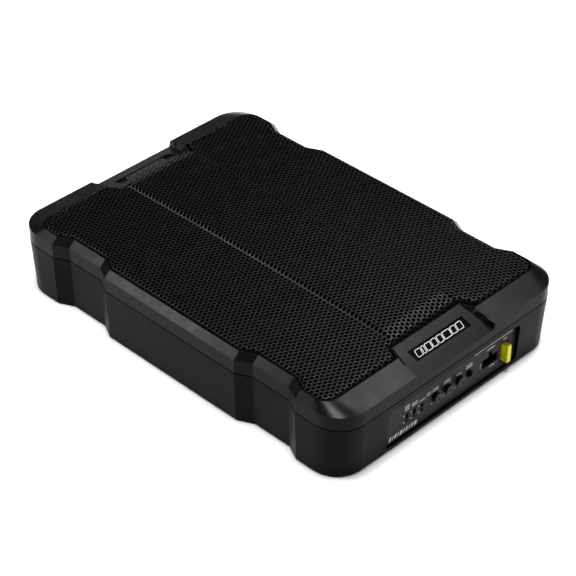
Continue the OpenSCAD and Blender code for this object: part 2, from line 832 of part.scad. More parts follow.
module dust_cap() {
    base_z = 45.6 + (cap_r - former_out) * (rim_z - 45.6) / (95.6 - former_out);
    color("#202022") turned(concat(
        [for (i = [0:10]) [cap_r * (1 - i / 10), base_z + 0.1 + 8 * sin(i * 9)]],
        [[0, base_z + 7.3]],
        [for (i = [9:-1:1]) [cap_r * (1 - i / 10) - 0.7 * cos(i * 9), base_z - 0.6 + 8 * sin(i * 9) ]],
        [[cap_r - 2, base_z + 0.1]]
    ));
}

// Half-roll of rubber: its inner foot lies on the cone's rim, its outer foot on the basket's flange
module surround() {
    cr = 108.9;
    z0 = rim_z + 0.05;
    outer_z = flange_z + flange_t + 0.05;
    t = 0.9;
    color("#121212") turned(concat(
        [[97, z0], [cr - 6.6, z0]],
        [for (a = [180:-12:0]) [cr + 6.6 * cos(a), z0 + 6.6 * sin(a)]],
        [[cr + 6.6, outer_z], [121, outer_z], [121, outer_z + t], [cr + 7.5, outer_z + t]],
        [for (a = [0:12:180]) [cr + 7.5 * cos(a), z0 + t + 6.9 * sin(a)]],
        [[97, z0 + t]]
    ));
}

module speaker_terminals() {
    color("#8a6a3a") {
        translate([-13, woofer_y - 88.5, landing_z + 0.05]) cube([26, 8, 1.6]);
        for (s = [-1, 1]) translate([s * 8 - 2.4, woofer_y - 89.5, landing_z + 1.65]) cube([4.8, 9, 0.8]);
    }
}

// Round wire along a list of points
module wire(points, r) {
    sides = 8;
    n = len(points);
    dirs = [for (i = [0:n - 1]) let (d = points[min(i + 1, n - 1)] - points[max(i - 1, 0)]) d / norm(d)];
    rings = [for (i = [0:n - 1])
        let (u = cross(dirs[i], [1, 0, 0]))
        let (v = cross(dirs[i], u / norm(u)))
        [for (k = [0:sides - 1]) points[i] + r * (cos(k * 45) * u / norm(u) + sin(k * 45) * v)]];
    loft(rings);
}

module tinsel_leads() {
    color("#b98a55") for (s = [-1, 1]) wire([
        [s * 8, woofer_y - 62, 52.8], [s * 8, woofer_y - 65, 50.6], [s * 8, woofer_y - 70, 49.2],
        [s * 8, woofer_y - 75.5, 48.8], [s * 8, woofer_y - 80, 47.4], [s * 8, woofer_y - 81.6, 45.5]
    ], 0.7);
}

module speaker_leads() {
    color("#a01818") for (s = [-1, 1]) wire([
        [s * 8, -95, board_top + eps], [s * 8, -95, 24], [s * 8, -92, 34], [s * 8, -83, 38.5],
        [s * 8, -66, 41], [s * 8, -54, 45.5], [s * 8, -45, 48.9], [s * 8, -38, 49.6],
        [s * 8, woofer_y - 90.5, 49], [s * 8, woofer_y - 87.6, 47.4], [s * 8, woofer_y - 87, 45.4]
    ], 1.2);
}

lower_housing();
housing_seal();
baffle();
case_screws();
top_bezel();
grille();
front_emblem();
rear_emblem();
control_panel();
phase_switch_body();
phase_switch_slider();
input_switch_body();
input_switch_slider();
turn_on_switch_body();
turn_on_switch_slider();
gain_potentiometer();
gain_knob();
crossover_potentiometer();
crossover_knob();
bass_boost_potentiometer();
bass_boost_knob();
remote_jack();
harness_header();
harness_pins();
fuse_socket();
fuse_clips();
fuse_body();
fuse_blades();
circuit_board();
board_screws();
filter_capacitors();
toroid_core();
toroid_winding();
output_inductors();
signal_chips();
power_transistors();
heat_spreader();
clamp_bar();
clamp_screws();
woofer_basket();
woofer_seal();
woofer_screws();
woofer_top_plate();
woofer_magnet();
woofer_back_plate();
voice_coil_former();
voice_coil_winding();
spider();
cone();
dust_cap();
surround();
speaker_terminals();
tinsel_leads();
speaker_leads();
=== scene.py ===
import json
import math
import random

import bpy
import numpy as np
from mathutils import Matrix, Vector


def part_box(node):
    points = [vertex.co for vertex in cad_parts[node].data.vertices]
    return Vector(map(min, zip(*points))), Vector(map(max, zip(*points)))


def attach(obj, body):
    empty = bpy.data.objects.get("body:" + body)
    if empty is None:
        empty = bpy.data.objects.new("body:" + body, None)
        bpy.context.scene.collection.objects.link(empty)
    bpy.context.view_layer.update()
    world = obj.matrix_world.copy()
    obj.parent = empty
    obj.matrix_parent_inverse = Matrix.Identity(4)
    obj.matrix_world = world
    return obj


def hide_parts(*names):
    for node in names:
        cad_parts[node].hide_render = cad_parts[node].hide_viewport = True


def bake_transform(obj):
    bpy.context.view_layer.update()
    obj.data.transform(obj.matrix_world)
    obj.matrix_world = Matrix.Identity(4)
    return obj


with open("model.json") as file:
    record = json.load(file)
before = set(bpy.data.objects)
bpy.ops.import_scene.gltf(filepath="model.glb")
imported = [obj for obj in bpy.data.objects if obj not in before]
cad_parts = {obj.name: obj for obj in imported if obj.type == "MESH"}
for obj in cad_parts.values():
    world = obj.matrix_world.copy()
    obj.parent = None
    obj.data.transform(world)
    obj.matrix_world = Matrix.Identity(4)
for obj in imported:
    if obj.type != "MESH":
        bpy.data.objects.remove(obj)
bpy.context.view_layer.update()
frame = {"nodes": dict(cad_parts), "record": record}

# This script works in millimetres. Blender and the frame are in metres.
MM = 0.001
TO_MM = 1000


# ---------- places from the frame ----------


def box_mm(node):
    """A CAD node's lowest and highest corners."""
    return [corner * TO_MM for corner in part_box(node)]


def box_middle(node):
    """The middle of a CAD node's box."""
    lo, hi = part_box(node)
    return (lo + hi) * (TO_MM / 2)


def top_z(node):
    """The height of a CAD node's highest point."""
    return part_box(node)[1].z * TO_MM


NODE_SLOT = {part["node"]: part["material_slot"] for part in frame["record"]["subparts"]}
CASE_HI = box_mm("top_bezel")[1]
GRILLE_LO = box_mm("grille")[0]
PANEL_FACE_Y = box_mm("control_panel")[0].y
# The woofer's axis
AXIS_X, AXIS_Y = box_middle("cone").xy


# ---------- meshes ----------


def mesh_object(name, points, faces, material, smooth_deg=35):
    """A new object, with edges sharper than smooth_deg kept sharp."""
    mesh = bpy.data.meshes.new(name)
    mesh.from_pydata([tuple(float(c) * MM for c in p) for p in points], [], faces)
    mesh.validate()
    mesh.update()
    mesh.shade_smooth()
    mesh.set_sharp_from_angle(angle=math.radians(smooth_deg))
    obj = bpy.data.objects.new(name, mesh)
    bpy.context.scene.collection.objects.link(obj)
    obj.data.materials.append(material)
    return obj


def joined(parts):
    """One (points, faces) pair from several."""
    points, faces = [], []
    for part_points, part_faces in parts:
        first = len(points)
        points += [tuple(p) for p in part_points]
        faces += [tuple(i + first for i in f) for f in part_faces]
    return points, faces


def box_part(lo, hi):
    """A box as (points, faces)."""
    points = [(x, y, z) for x in (lo[0], hi[0]) for y in (lo[1], hi[1]) for z in (lo[2], hi[2])]
    faces = [(0, 1, 3, 2), (4, 6, 7, 5), (0, 4, 5, 1), (2, 3, 7, 6), (0, 2, 6, 4), (1, 5, 7, 3)]
    return points, faces


# ---------- materials ----------

ROUGH_SPREAD = 0.05
BUMP_STRENGTH = 0.6


def grey(value):
    return (value, value, value)


def node_tree(name):
    """A new material that has only an output and a Principled shader."""
    mat = bpy.data.materials.new(name)
    mat.use_nodes = True
    nodes = mat.node_tree.nodes
    nodes.clear()
    out = nodes.new("ShaderNodeOutputMaterial")
    shader = nodes.new("ShaderNodeBsdfPrincipled")
    mat.node_tree.links.new(shader.outputs[0], out.inputs[0])
    return mat, nodes, mat.node_tree.links, shader


def noise(nodes, links, coords, scale, detail=3.0, rough=0.5):
    """A noise texture in the object's own coordinates."""
    tex = nodes.new("ShaderNodeTexNoise")
    tex.inputs["Scale"].default_value = scale
    tex.inputs["Detail"].default_value = detail
    tex.inputs["Roughness"].default_value = rough
    links.new(coords.outputs["Object"], tex.inputs["Vector"])
    return tex


def ramp(nodes, links, source, low, high, start=0.35, end=0.65):
    """A colour that runs from low to high as source goes from start to end."""
    node = nodes.new("ShaderNodeValToRGB")
    for element, place, colour in zip(node.color_ramp.elements, (start, end), (low, high)):
        element.position = place
        element.color = (*colour, 1.0)
    links.new(source, node.inputs[0])
    return node


def surface(
    name,
    colour,
    rough,
    metal=0.0,
    grain=1400.0,
    grain_depth=0.02,
    tint=0.12,
    blotch=60.0,
    specular=0.5,
):
    """A procedural surface.

    Its colour varies by the part tint, in blotches, and its gloss varies with it. A fine grain,
    grain_depth millimetres deep, is in the bump. grain and blotch are the two noises' scales.
    """
    mat, nodes, links, shader = node_tree(name)
    coords = nodes.new("ShaderNodeTexCoord")
    wide = noise(nodes, links, coords, blotch, detail=4.0, rough=0.6)
    fine = noise(nodes, links, coords, grain, detail=2.0, rough=0.5)
    dark = tuple(c * (1 - tint) for c in colour)
    light = tuple(min(1.0, c * (1 + tint)) for c in colour)
    tone = ramp(nodes, links, wide.outputs["Fac"], dark, light)
    links.new(tone.outputs["Color"], shader.inputs["Base Color"])
    glossy = grey(rough - ROUGH_SPREAD)
    dull = grey(rough + ROUGH_SPREAD)
    gloss = ramp(nodes, links, wide.outputs["Fac"], glossy, dull, start=0.3, end=0.7)
    links.new(gloss.outputs["Color"], shader.inputs["Roughness"])
    bump = nodes.new("ShaderNodeBump")
    bump.inputs["Strength"].default_value = BUMP_STRENGTH
    bump.inputs["Distance"].default_value = grain_depth * MM
    links.new(fine.outputs["Fac"], bump.inputs["Height"])
    links.new(bump.outputs["Normal"], shader.inputs["Normal"])
    shader.inputs["Metallic"].default_value = metal
    shader.inputs["Specular IOR Level"].default_value = specular
    return mat


def front_lit_surface(name, side_colour, lit_face_colour, rough, specular):
    """Plastic with a painted highlight: the faces that look forwards, along -Y, are given a lighter
    colour.
    """
    mat = surface(name, side_colour, rough, specular=specular)
    nodes, links = mat.node_tree.nodes, mat.node_tree.links
    shader = next(n for n in nodes if n.type == "BSDF_PRINCIPLED")
    side_tone = shader.inputs["Base Color"].links[0].from_socket
    coords = nodes.new("ShaderNodeTexCoord")
    split = nodes.new("ShaderNodeSeparateXYZ")
    links.new(coords.outputs["Normal"], split.inputs[0])
    forward = nodes.new("ShaderNodeMath")
    forward.operation = "MULTIPLY"
    forward.inputs[1].default_value = -1.0
    links.new(split.outputs["Y"], forward.inputs[0])
    # Mask of the forward faces, which take the lighter colour as a painted highlight
    lit_face_mask = ramp(nodes, links, forward.outputs[0], grey(0.0), grey(1.0), start=0.75, end=0.95)
    mix = nodes.new("ShaderNodeMix")
    mix.data_type = "RGBA"
    links.new(lit_face_mask.outputs["Color"], mix.inputs["Factor"])
    links.new(side_tone, mix.inputs["A"])
    mix.inputs["B"].default_value = (*lit_face_colour, 1.0)
    links.new(mix.outputs["Result"], shader.inputs["Base Color"])
    return mat


# What shows through the holes of the grille is almost black, as in the photograph.
# black_steel, rubber and cone_paper are black parts, made darker still and almost without sheen as
# painted shade for the dark inside of the case
FINISHES = {
    # case, grille and badges
    "case_paint": dict(
        colour=(0.003, 0.003, 0.0031), rough=0.38, grain=900, grain_depth=0.05, specular=0.04
    ),
    "bezel_plastic": dict(colour=(0.004, 0.0038, 0.004), rough=0.27, grain=1600, specular=0.06),
    "grille_steel": dict(colour=grey(0.0045), rough=0.36, grain=2500, grain_depth=0.01, specular=0.16),
    # Near-black painted shade for the walls of the grille's holes, which are really the sheet's own
    # steel
    "hole_wall_shade": dict(colour=grey(0.0002), rough=0.8, specular=0.0),
    "emblem_plastic": dict(colour=grey(0.0006), rough=0.5, grain=500, grain_depth=0.1, specular=0.02),
    "foam": dict(colour=grey(0.004), rough=0.95, grain=1200, grain_depth=0.3, specular=0.1),
    # control panel
    "panel_plastic": dict(colour=(0.021, 0.0195, 0.022), rough=0.5, specular=0.1),
    "black_plastic": dict(colour=grey(0.001), rough=0.6, specular=0.01),
    "slider_plastic": dict(colour=grey(0.004), rough=0.5, specular=0.1),
    "yellow_plastic": dict(
        colour=(0.68, 0.65, 0.012), rough=0.3, grain_depth=0.005, tint=0.06, specular=0.25
    ),
    "print_white": dict(colour=(0.62, 0.62, 0.60), rough=0.5, grain_depth=0.004),
    "print_grey": dict(colour=(0.03, 0.03, 0.031), rough=0.5, grain_depth=0.004, specular=0.3),
    # metals
    "tinned_metal": dict(colour=(0.7, 0.7, 0.68), rough=0.35, metal=1.0, blotch=300),
    "gold_contact": dict(colour=(0.75, 0.55, 0.25), rough=0.3, metal=1.0, blotch=300),
    "zinc_steel": dict(colour=(0.55, 0.55, 0.56), rough=0.35, metal=1.0, blotch=200),
    "black_steel": dict(colour=grey(0.001), rough=0.5, specular=0.005),
    "bare_aluminium": dict(colour=(0.65, 0.66, 0.67), rough=0.4, metal=1.0, blotch=120),
    "copper_wire": dict(colour=(0.6, 0.22, 0.06), rough=0.25, metal=1.0, blotch=400),
    # amplifier
    "board_green": dict(colour=(0.01, 0.09, 0.03), rough=0.35, blotch=400, tint=0.3),
    "capacitor_sleeve": dict(colour=(0.02, 0.03, 0.09), rough=0.25),
    "ferrite": dict(colour=(0.05, 0.05, 0.052), rough=0.7, grain=700, grain_depth=0.08),
    # woofer
    "rubber": dict(colour=grey(0.001), rough=0.7, specular=0.005),
    "cone_paper": dict(
        colour=(0.001, 0.001, 0.0011), rough=0.85, grain=700, grain_depth=0.1, tint=0.25, specular=0.005
    ),
    "spider_cloth": dict(colour=(0.30, 0.22, 0.08), rough=0.85, grain=1500, grain_depth=0.2),
    "former_kapton": dict(colour=(0.45, 0.25, 0.05), rough=0.35),
    "red_sleeve": dict(colour=(0.35, 0.01, 0.01), rough=0.4),
}
MATERIALS = {name: surface(name, **finish) for name, finish in FINISHES.items()}
# The knobs' forward faces are lighter: a painted highlight in their colour
MATERIALS["knob_plastic"] = front_lit_surface(
    "knob_plastic", grey(0.003), (0.014, 0.013, 0.0145), rough=0.5, specular=0.2
)

for node, obj in frame["nodes"].items():
    obj.data.materials.clear()
    obj.data.materials.append(MATERIALS[NODE_SLOT[node]])


# ---------- outlines ----------

# How far the bezel's lip lies in from the case's long sides and from its end walls
LIP_IN_X, LIP_IN_Y = 6.8, 23.5
# The notches in the long sides: their depth, the run of their slanted ends, and the places along
# the side where they begin and end
NOTCH_DEPTH, NOTCH_SLANT = 8.0, 16.0
NOTCH_NEAR, NOTCH_FAR = 86.0, 162.0
# The step around each badge: how far in it reaches, and its half width there and at the lip
BADGE_STEP, BADGE_IN, BADGE_OUT = 13.5, 45.0, 51.5
CORNER_STEPS = 8


def fillet(before, corner, after, radius, steps):
    """Points of the arc that rounds one corner."""
    a = Vector(before) - Vector(corner)
    b = Vector(after) - Vector(corner)
    a.normalize()
    b.normalize()
    half = a.angle(b) / 2
    reach = radius / math.tan(half)
    middle = Vector(corner) + (a + b).normalized() * radius / math.sin(half)
    first = Vector(corner) + a * reach - middle
    last = Vector(corner) + b * reach - middle
    turn = first.angle_signed(last)
    return [tuple(middle + Matrix.Rotation(-turn * i / steps, 2) @ first) for i in range(steps + 1)]


def opening_outline(inset, corner_r, convex_r, concave_r):
    """The grille opening's outline, inset from the lip, counterclockwise from the front badge."""
    x = CASE_HI.x - LIP_IN_X - inset
    y = CASE_HI.y - LIP_IN_Y - inset
    slant_shift = math.tan(math.atan(NOTCH_DEPTH / NOTCH_SLANT) / 2) * inset
    near, far = NOTCH_NEAR - slant_shift, NOTCH_FAR + slant_shift
    front_right = [
        ((BADGE_IN + inset, -y + BADGE_STEP), concave_r),
        ((BADGE_OUT + inset, -y), convex_r),
        ((x, -y), corner_r),
        ((x, -far), convex_r),
        ((x - NOTCH_DEPTH, -far + NOTCH_SLANT), concave_r),
        ((x - NOTCH_DEPTH, -near - NOTCH_SLANT), concave_r),
        ((x, -near), convex_r),
    ]
    right = front_right + [((px, -py), r) for (px, py), r in reversed(front_right)]
    corners = right + [((-px, py), r) for (px, py), r in reversed(right)]
    points = []
    for i, (point, radius) in enumerate(corners):
        before = corners[i - 1][0]
        after = corners[(i + 1) % len(corners)][0]
        points += fillet(before, point, after, radius, CORNER_STEPS)
    return np.array(points)


# ---------- grille ----------

# Height of the sheet's middle without the strip, and its curvature across and along the case
CROWN_Z = 84.2
CROWN_KX = 0.000357
CROWN_KY = 0.000168
# The raised strip: its height, its half width, and where its ends start and finish sloping down
STRIP_RISE = 4.2
STRIP_HALF = 44.0
STRIP_END_IN, STRIP_END_OUT = 162.0, 181.0
# The holes: distance between rows, distance along a row, and radius
ROW_STEP = 4.1
HOLE_STEP = 4.9
HOLE_R = 1.86
HOLE_SIDES = 12
SHEET_T = 0.9
# Width and depth of the soft edge around each hole
EDGE_ROUND = 0.2
EDGE_DROP = 0.08
# The rolled rim: the gap to the lip, the radius of the bend, the straight part below the bend,
# and the corner radii of the line where the bend starts
GRILLE_GAP = 2.2
ROLL_R = 3.4
RIM_LEG = 3.5
ROLL_CORNER_R, ROLL_CONVEX_R, ROLL_CONCAVE_R = 8.8, 2.5, 6.0
# The rim's foot, above the CAD grille's lowest point
GRILLE_FOOT = GRILLE_LO.z + 2.2
# Points of neighbouring cells are one point where they agree to 1 / WELD_PER_MM millimetres
WELD_PER_MM = 50
# The sheet's slopes are measured over this far to each side of a point
SLOPE_STEP = 0.05
# How many points beyond() takes at a time
CHUNK = 4000


def sheet_z(x, y):
    """Height of the sheet's top face before its rim is rolled: the crown and the raised strip."""
    crown = CROWN_Z - CROWN_KX * x * x / 2 - CROWN_KY * y * y / 2
    side = STRIP_HALF - np.abs(x)
    end = (STRIP_END_OUT - np.abs(y)) * STRIP_RISE / (STRIP_END_OUT - STRIP_END_IN)
    part = np.clip(np.minimum(side, end) / STRIP_RISE, 0, 1)
    return crown + STRIP_RISE * part * part * (3 - 2 * part)


def beyond(points, outline):
    """Signed distance outside a closed outline, and the nearest point on it."""
    a = outline
    b = np.roll(outline, -1, axis=0)
    edge = b - a
    length2 = (edge**2).sum(1) + 1e-12
    distance = np.empty(len(points))
    nearest = np.empty((len(points), 2))
    inside = np.empty(len(points), bool)
    for start in range(0, len(points), CHUNK):
        chunk = slice(start, start + CHUNK)
        p = points[chunk]
        rel = p[:, None, :] - a[None]
        t = np.clip((rel * edge).sum(2) / length2, 0, 1)
        foot = a + t[..., None] * edge
        gap = ((p[:, None, :] - foot) ** 2).sum(2)
        best = gap.argmin(1)
        rows = np.arange(len(p))
        distance[chunk] = np.sqrt(gap[rows, best])
        nearest[chunk] = foot[rows, best]
        above = (a[:, 1] > p[:, None, 1]) != (b[:, 1] > p[:, None, 1])
        with np.errstate(divide="ignore", invalid="ignore"):
            cross_x = a[:, 0] + (p[:, None, 1] - a[:, 1]) * edge[:, 0] / edge[:, 1]
        inside[chunk] = (above & (p[:, None, 0] < cross_x)).sum(1) % 2 == 1
    return np.where(inside, -distance, distance), nearest


ROLL_LINE = opening_outline(GRILLE_GAP + ROLL_R, ROLL_CORNER_R, ROLL_CONVEX_R, ROLL_CONCAVE_R)


def formed(points):
    """Where points of the flat sheet lie once it is crowned and its rim is rolled down."""
    out, foot = beyond(points, ROLL_LINE)
    over = np.maximum(out, 0)
    away = points - foot
    length = np.linalg.norm(away, axis=1)
    away = away / np.maximum(length, 1e-9)[:, None]
    angle = np.minimum(over / ROLL_R, math.pi / 2)
    base = np.where((out > 0)[:, None], foot, points)
    flat = base + away * (ROLL_R * np.sin(angle) * (out > 0))[:, None]
    drop = ROLL_R * (1 - np.cos(angle)) + np.maximum(over - ROLL_R * math.pi / 2, 0)
    z = sheet_z(base[:, 0], base[:, 1]) - drop
    return np.column_stack([flat, np.maximum(z, GRILLE_FOOT)])


def formed_normals(points):
    """The formed sheet's outward directions at points of the flat sheet."""
    along_x = formed(points + [SLOPE_STEP, 0]) - formed(points - [SLOPE_STEP, 0])
    along_y = formed(points + [0, SLOPE_STEP]) - formed(points - [0, SLOPE_STEP])
    normal = np.cross(along_x, along_y)
    return normal / np.maximum(np.linalg.norm(normal, axis=1), 1e-9)[:, None]


def hole_centres():
    """The centres of all the holes in the flat sheet. Rows run along the case."""
    rows = math.ceil(CASE_HI.x / ROW_STEP)
    holes = math.ceil(CASE_HI.y / HOLE_STEP)
    centres = []
    for i in range(-rows, rows + 1):
        for j in range(-holes, holes + 1):
            centres.append((i * ROW_STEP, (j + 0.5 * (i % 2)) * HOLE_STEP))
    centres = np.array(centres)
    reach = ROLL_R * math.pi / 2 + RIM_LEG
    return centres[beyond(centres, ROLL_LINE)[0] < reach]


def cell_ring():
    """The six-sided cell around a hole, as its corners and the middles of its sides."""
    half_hole = HOLE_STEP / 2
    tip = (ROW_STEP**2 + half_hole**2) / (2 * ROW_STEP)
    side_x = ROW_STEP - tip
    upper = [(tip, 0), (side_x, half_hole), (-side_x, half_hole)]
    corners = np.array(upper + [(-x, -y) for x, y in upper])
    middles = (corners + np.roll(corners, -1, axis=0)) / 2
    return np.stack([corners, middles], axis=1).reshape(-1, 2)


def sheet_piece(name, cells):
    """A stretch of the perforated sheet: its top face and the walls of its holes."""
    ring = cell_ring()
    turn = np.radians(360 / HOLE_SIDES * np.arange(HOLE_SIDES))
    circle = np.column_stack([np.cos(turn), np.sin(turn)])
    index, flat, faces, rims = {}, [], [], []
    for cell in cells:
        outer = []
        for p in cell + ring:
            key = (round(p[0] * WELD_PER_MM), round(p[1] * WELD_PER_MM))
            if key not in index:
                index[key] = len(flat)
                flat.append(p)
            outer.append(index[key])
        first = len(flat)
        flat += list(cell + (HOLE_R + EDGE_ROUND) * circle) + list(cell + HOLE_R * circle)
        shoulder = list(range(first, first + HOLE_SIDES))
        rim = list(range(first + HOLE_SIDES, first + 2 * HOLE_SIDES))
        for k in range(HOLE_SIDES):
            n = (k + 1) % HOLE_SIDES
            faces.append((outer[k], outer[n], shoulder[n], shoulder[k]))
            faces.append((shoulder[k], shoulder[n], rim[n], rim[k]))
        rims += rim
    flat = np.array(flat)
    top = formed(flat)
    normal = formed_normals(flat)[rims]
    low = top[rims] - normal * SHEET_T
    low[:, 2] = np.maximum(low[:, 2], GRILLE_FOOT)
    top[rims] -= normal * EDGE_DROP
    for h in range(0, len(rims), HOLE_SIDES):
        for k in range(HOLE_SIDES):
            n = (k + 1) % HOLE_SIDES
            faces.append((rims[h + k], rims[h + n], len(top) + h + n, len(top) + h + k))
    obj = mesh_object(name, np.vstack([top, low]), faces, MATERIALS["grille_steel"], smooth_deg=40)
    # The holes' walls take the near-black painted shade
    obj.data.materials.append(MATERIALS["hole_wall_shade"])
    walls = np.zeros(len(obj.data.polygons), np.int32)
    walls[-len(rims) :] = 1
    obj.data.polygons.foreach_set("material_index", walls)
    return obj


def perforated_sheet():
    """The whole sheet in three pieces: left of the strip, the strip, and right of it."""
    centres = hole_centres()
    strip_edge = STRIP_HALF + 1
    groups = {
        "left": centres[centres[:, 0] < -strip_edge],
        "strip": centres[np.abs(centres[:, 0]) <= strip_edge],
        "right": centres[centres[:, 0] > strip_edge],
    }
    for side, cells in groups.items():
        obj = sheet_piece(f"grille_{side}", cells)
        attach(obj, "case")
        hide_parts("grille")


perforated_sheet()


# ---------- badge marks ----------

# The badge recess's sloping floor: its run and rise, and its height at the end wall
BADGE_RUN, BADGE_RISE = 36.0, 11.9
BADGE_OUT_Z = 64.7
BADGE_TILT = math.atan(BADGE_RISE / BADGE_RUN)
# The emblem plate's middle, up the slope, and its face, which is sunk below the recess's floor
EMBLEM_V = 21.9
EMBLEM_FACE = -0.8
# The tiles: their height, how far their tops lean over, the gap between them, and the radii of
# their outlines' corners
MARK_H = 8.0
MARK_LEAN = 2.2
TILE_GAP = 0.9
TILE_OUTER_R, TILE_INNER_R = 1.1, 0.5
TILE_STEPS = 4
# The bar in a filled tile: its half height and the radius of its corners
BAR_HALF_H, BAR_R = 0.7, 0.3
# How far tiles and bars are sunk in the plate and stand proud of it
MARK_SUNK = 0.05
TILE_PROUD, BAR_PROUD = 0.35, 0.3
# The tiles' widths, and the width of their outlines
FRONT_TILES, FRONT_LINE_W = (7.2, 3.8, 7.2, 6.8, 6.8, 9.8, 6.8, 7.4), 0.55
REAR_TILES, REAR_LINE_W = (9.0, 6.0, 6.0, 9.0, 6.0, 9.0), 1.3
# The two ends of the case. The rear badge is the front one turned half round.
FRONT, REAR = 1, -1


def on_badge(u, v, w, end):
    """A point of the FRONT or REAR badge: u across, v up the slope, w out of the recess's floor."""
    y = -CASE_HI.y + v * math.cos(BADGE_TILT) - w * math.sin(BADGE_TILT)
    z = BADGE_OUT_Z + v * math.sin(BADGE_TILT) + w * math.cos(BADGE_TILT)
    return (u * end, y * end, z)


def leaning_outline(u0, u1, v0, v1, radius):
    """A parallelogram with round corners, leaning to the right, counterclockwise."""
    slope = MARK_LEAN / MARK_H
    corners = [(u + slope * (v - EMBLEM_V), v) for u, v in ((u0, v0), (u1, v0), (u1, v1), (u0, v1))]
    points = []
    for i, corner in enumerate(corners):
        points += fillet(corners[i - 1], corner, corners[(i + 1) % 4], radius, TILE_STEPS)
    return points


def ring_part(outer, inner, w0, w1, end):
    """A closed band between two outlines with the same number of points, from depth w0 to w1."""
    n = len(outer)
    points = [on_badge(u, v, w, end) for w in (w0, w1) for loop in (outer, inner) for u, v in loop]
    faces = []
    for i in range(n):
        k = (i + 1) % n
        faces.append((i, k, 2 * n + k, 2 * n + i))
        faces.append((n + k, n + i, 3 * n + i, 3 * n + k))
        faces.append((2 * n + i, 2 * n + k, 3 * n + k, 3 * n + i))
        faces.append((k, i, n + i, n + k))
    return points, faces


def solid_part(outline, w0, w1, end):
    """A closed plate with the given outline, from depth w0 to w1."""
    n = len(outline)
    points = [on_badge(u, v, w, end) for w in (w0, w1) for u, v in outline]
    faces = [tuple(range(n - 1, -1, -1)), tuple(range(n, 2 * n))]
    faces += [(i, (i + 1) % n, n + (i + 1) % n, n + i) for i in range(n)]
    return points, faces


def badge_mark(name, end, widths, line_w, material, filled=False):
    """A generic mark: a row of leaning outlined tiles, and a bar in each if they are filled."""
    v0, v1 = EMBLEM_V - MARK_H / 2, EMBLEM_V + MARK_H / 2
    bar_v0, bar_v1 = EMBLEM_V - BAR_HALF_H, EMBLEM_V + BAR_HALF_H
    back = EMBLEM_FACE - MARK_SUNK
    u = -(sum(widths) + TILE_GAP * (len(widths) - 1)) / 2
    tiles, bars = [], []
    for width in widths:
        outer = leaning_outline(u, u + width, v0, v1, TILE_OUTER_R)
        inner = leaning_outline(u + line_w, u + width - line_w, v0 + line_w, v1 - line_w, TILE_INNER_R)
        tiles.append(ring_part(outer, inner, back, EMBLEM_FACE + TILE_PROUD, end))
        if filled:
            bar = leaning_outline(u + 2 * line_w, u + width - 2 * line_w, bar_v0, bar_v1, BAR_R)
            bars.append(solid_part(bar, back, EMBLEM_FACE + BAR_PROUD, end))
        u += width + TILE_GAP
    obj = mesh_object(name, *joined(tiles + bars), MATERIALS[material])
    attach(obj, "case")


badge_mark("front_mark", FRONT, FRONT_TILES, FRONT_LINE_W, "print_white")
badge_mark("rear_mark", REAR, REAR_TILES, REAR_LINE_W, "print_grey", filled=True)


# ---------- printing on the control panel ----------

# How far the ink stands proud of the panel and reaches into it
INK_T = 0.06
INK_SUNK = 0.02
# Small print: the widths of its bars, the gap between them, and the least room left for a bar
BAR_MIN, BAR_MAX = 0.55, 1.3
BAR_GAP = 0.45
LEAST_BAR = 0.3
# The heights of the lines of small print
CAPTION_H, SWITCH_MARK_H, ARC_PRINT_H = 1.1, 0.8, 1.7
# Marks beside the switches: where they begin and end to the left of the slider, and their heights
SWITCH_MARK_FROM, SWITCH_MARK_TO = 5.4, 3.4
SWITCH_MARK_Z = (26.4, 18.9)
# Ticks beside the knobs: their distance from the shaft, their half width, their foot and their top
TICK_OFF, TICK_HALF_W = 4.6, 0.35
TICK_Z0, TICK_Z1 = 18.0, 19.4
# Dots beside the header: where they begin and end to the left of its middle, and their heights
DOT_FROM, DOT_TO = 14.2, 13.2
DOT_Z, DOT_HALF_H = (21.0, 24.2), 0.6
# The drooping line of print: its start, end, the step and length of its words, its highest point
# and how fast it droops
ARC_X0, ARC_X1 = 34.5, 87.5
ARC_STEP, ARC_WORD = 5.4, 4.7
ARC_TOP_X, ARC_TOP_Z = 50, 41.6
ARC_DROOP = 0.0006
# The mark in the panel's lower left corner: its left end, foot, top, lean, gap and bars
CORNER_X, CORNER_Z0, CORNER_Z1 = -81, 7.6, 12.2
CORNER_LEAN, CORNER_GAP = 1.5, 1.9
CORNER_BARS = (2.2, 1.0, 2.2, 1.0, 3.2, 1.0, 2.2, 1.0, 2.2, 3.2)
PRINT_SEED = 7


def ink_box(x0, x1, z0, z1):
    """A rectangle of ink on the panel's face."""
    return box_part((x0, PANEL_FACE_Y - INK_T, z0), (x1, PANEL_FACE_Y + INK_SUNK, z1))


def small_print(x0, x1, z, height, rng):
    """A row of short bars of uneven length that stands for a line of small print."""
    parts = []
    x = x0
    while x < x1 - LEAST_BAR:
        width = min(rng.uniform(BAR_MIN, BAR_MAX), x1 - x)
        parts.append(ink_box(x, x + width, z - height / 2, z + height / 2))
        x += width + BAR_GAP
    return parts


def corner_mark():
    """A generic mark: leaning bars of several widths."""
    z0, z1, lean = CORNER_Z0, CORNER_Z1, CORNER_LEAN
    depths = (PANEL_FACE_Y - INK_T, PANEL_FACE_Y + INK_SUNK)
    parts = []
    x = CORNER_X
    for width in CORNER_BARS:
        corners = [(x, z0), (x + width, z0), (x + width + lean, z1), (x + lean, z1)]
        points = [(px, y, pz) for y in depths for px, pz in corners]
        faces = [(0, 1, 2, 3), (7, 6, 5, 4)]
        faces += [(i, 4 + i, 4 + (i + 1) % 4, (i + 1) % 4) for i in range(4)]
        parts.append((points, faces))
        x += width + CORNER_GAP
    return parts


